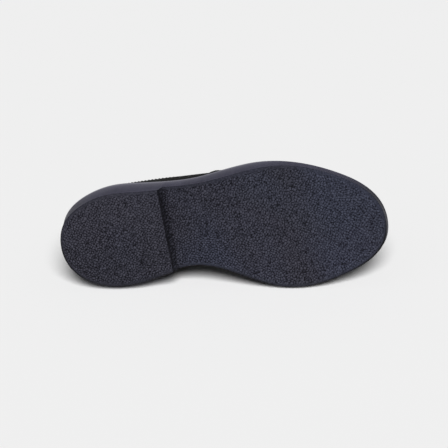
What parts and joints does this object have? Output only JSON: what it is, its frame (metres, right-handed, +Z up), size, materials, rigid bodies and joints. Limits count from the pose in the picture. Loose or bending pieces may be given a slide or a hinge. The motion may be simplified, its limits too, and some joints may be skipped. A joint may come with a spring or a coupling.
{
  "type": "loafer",
  "caption": "Plain black slip-on loafer with a one-piece moulded rubber sole: low heel block, arched waist and pebbled tread. It lies on its inner side.",
  "frame": {"origin": "on the floor, under the middle of the lying shoe's bounding box", "axes": "+X from heel to toe, -Y out through the sole's tread, +Z up from the floor. The shoe's inner side is down, and its sole faces about 7 degrees upwards."},
  "size_m": [0.2684, 0.09, 0.1017],
  "materials": {
    "rubber": "matt, pebbled tread",
    "black_leather": "smooth, soft sheen",
    "lining_leather": "matt"
  },
  "bodies": {
    "root": {"outsole": "rubber", "insole": "lining_leather", "upper": "black_leather", "saddle": "black_leather", "tongue": "black_leather", "backstay": "black_leather"}
  },
  "joints": []
}
